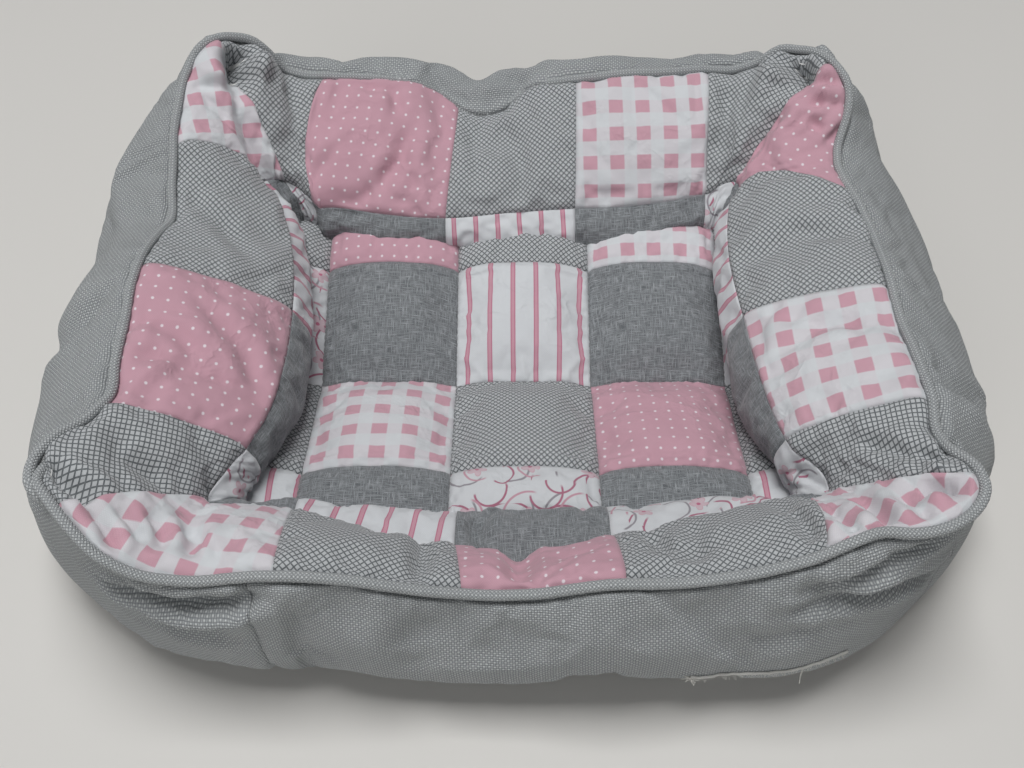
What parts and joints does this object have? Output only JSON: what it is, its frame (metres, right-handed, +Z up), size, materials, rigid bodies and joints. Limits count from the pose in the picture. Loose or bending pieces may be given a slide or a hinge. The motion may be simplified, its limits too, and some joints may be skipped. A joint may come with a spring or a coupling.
{
  "type": "fabric pet bed",
  "caption": "Rectangular fabric pet bed with stuffed patchwork walls, piped rim and quilted base",
  "frame": {"origin": "middle of the underside, where the bed stands on the floor", "axes": "+X to the right along the long side, -Y towards the front wall, +Z up"},
  "size_m": [0.5215, 0.4275, 0.1659],
  "materials": {
    "canvas": "light grey basket-weave canvas",
    "piping_canvas": "light grey basket-weave canvas cut on the bias",
    "piping_cord": "twisted cotton cord",
    "filling": "polyester fibre filling",
    "bottom_cloth": "grey non-woven cloth",
    "crosshatch": "printed cotton, grey crosshatch on off-white",
    "gingham": "printed cotton, pink and white gingham",
    "pink_dot": "printed cotton, white pin dots on pink",
    "floral": "printed cotton, pink and grey flowers on white",
    "grey_linen": "cotton with a dark grey linen look",
    "stripe": "printed cotton, pink stripes on white"
  },
  "bodies": {
    "root": {"back_lining_crosshatch": "crosshatch", "back_lining_floral": "floral", "back_lining_gingham": "gingham", "back_lining_grey_linen": "grey_linen", "back_lining_pink_dot": "pink_dot", "back_lining_stripe": "stripe", "back_outer_panel": "canvas", "back_wall_filling": "filling", "base_lining_crosshatch": "crosshatch", "base_lining_floral": "floral", "base_lining_gingham": "gingham", "base_lining_grey_linen": "grey_linen", "base_lining_pink_dot": "pink_dot", "base_lining_stripe": "stripe", "base_wadding": "filling", "bottom_panel": "bottom_cloth", "front_lining_crosshatch": "crosshatch", "front_lining_floral": "floral", "front_lining_gingham": "gingham", "front_lining_grey_linen": "grey_linen", "front_lining_pink_dot": "pink_dot", "front_lining_stripe": "stripe", "front_outer_panel": "canvas", "front_wall_filling": "filling", "left_lining_crosshatch": "crosshatch", "left_lining_floral": "floral", "left_lining_gingham": "gingham", "left_lining_grey_linen": "grey_linen", "left_lining_pink_dot": "pink_dot", "left_lining_stripe": "stripe", "left_outer_panel": "canvas", "left_wall_filling": "filling", "right_lining_crosshatch": "crosshatch", "right_lining_floral": "floral", "right_lining_gingham": "gingham", "right_lining_grey_linen": "grey_linen", "right_lining_pink_dot": "pink_dot", "right_lining_stripe": "stripe", "right_outer_panel": "canvas", "right_wall_filling": "filling", "rim_piping_cord": "piping_cord", "rim_piping_cover": "piping_canvas"}
  },
  "joints": []
}
